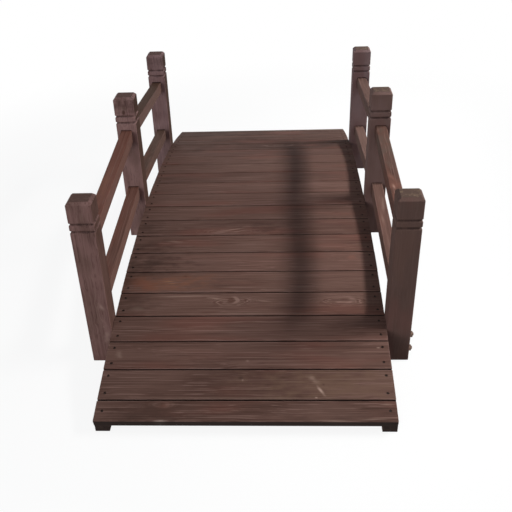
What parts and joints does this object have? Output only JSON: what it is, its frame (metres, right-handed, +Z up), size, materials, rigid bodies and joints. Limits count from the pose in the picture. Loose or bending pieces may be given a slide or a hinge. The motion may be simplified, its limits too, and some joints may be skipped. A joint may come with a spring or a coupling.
{
  "type": "arched garden footbridge",
  "caption": "Low arched wooden footbridge: flat boards across two bow-cut stringers, with grooved square posts and straight double rails along both sides.",
  "frame": {"origin": "on the ground under the middle of the deck", "axes": "+Y along the walkway, +X to the right of someone walking along +Y, +Z up"},
  "size_m": [0.67, 1.4968, 0.4076],
  "materials": {
    "deck_wood": "brown stain, matt",
    "stringer_wood": "brown stain, matt",
    "post_wood": "brown stain, matt",
    "rail_wood": "brown stain, matt",
    "fastener_steel": "zinc plated, stained and dull"
  },
  "bodies": {
    "root": {"left_stringer": "stringer_wood", "right_stringer": "stringer_wood", "deck_board_01": "deck_wood", "deck_board_02": "deck_wood", "deck_board_03": "deck_wood", "deck_board_04": "deck_wood", "deck_board_05": "deck_wood", "deck_board_06": "deck_wood", "deck_board_07": "deck_wood", "deck_board_08": "deck_wood", "deck_board_09": "deck_wood", "deck_board_10": "deck_wood", "deck_board_11": "deck_wood", "deck_board_12": "deck_wood", "deck_board_13": "deck_wood", "deck_board_14": "deck_wood", "deck_board_15": "deck_wood", "deck_board_16": "deck_wood", "deck_board_17": "deck_wood", "deck_board_18": "deck_wood", "deck_board_19": "deck_wood", "deck_board_20": "deck_wood", "deck_board_21": "deck_wood", "front_left_post": "post_wood", "front_right_post": "post_wood", "middle_left_post": "post_wood", "middle_right_post": "post_wood", "back_left_post": "post_wood", "back_right_post": "post_wood", "front_left_top_rail": "rail_wood", "front_left_lower_rail": "rail_wood", "front_right_top_rail": "rail_wood", "front_right_lower_rail": "rail_wood", "back_left_top_rail": "rail_wood", "back_left_lower_rail": "rail_wood", "back_right_top_rail": "rail_wood", "back_right_lower_rail": "rail_wood"}
  },
  "joints": []
}
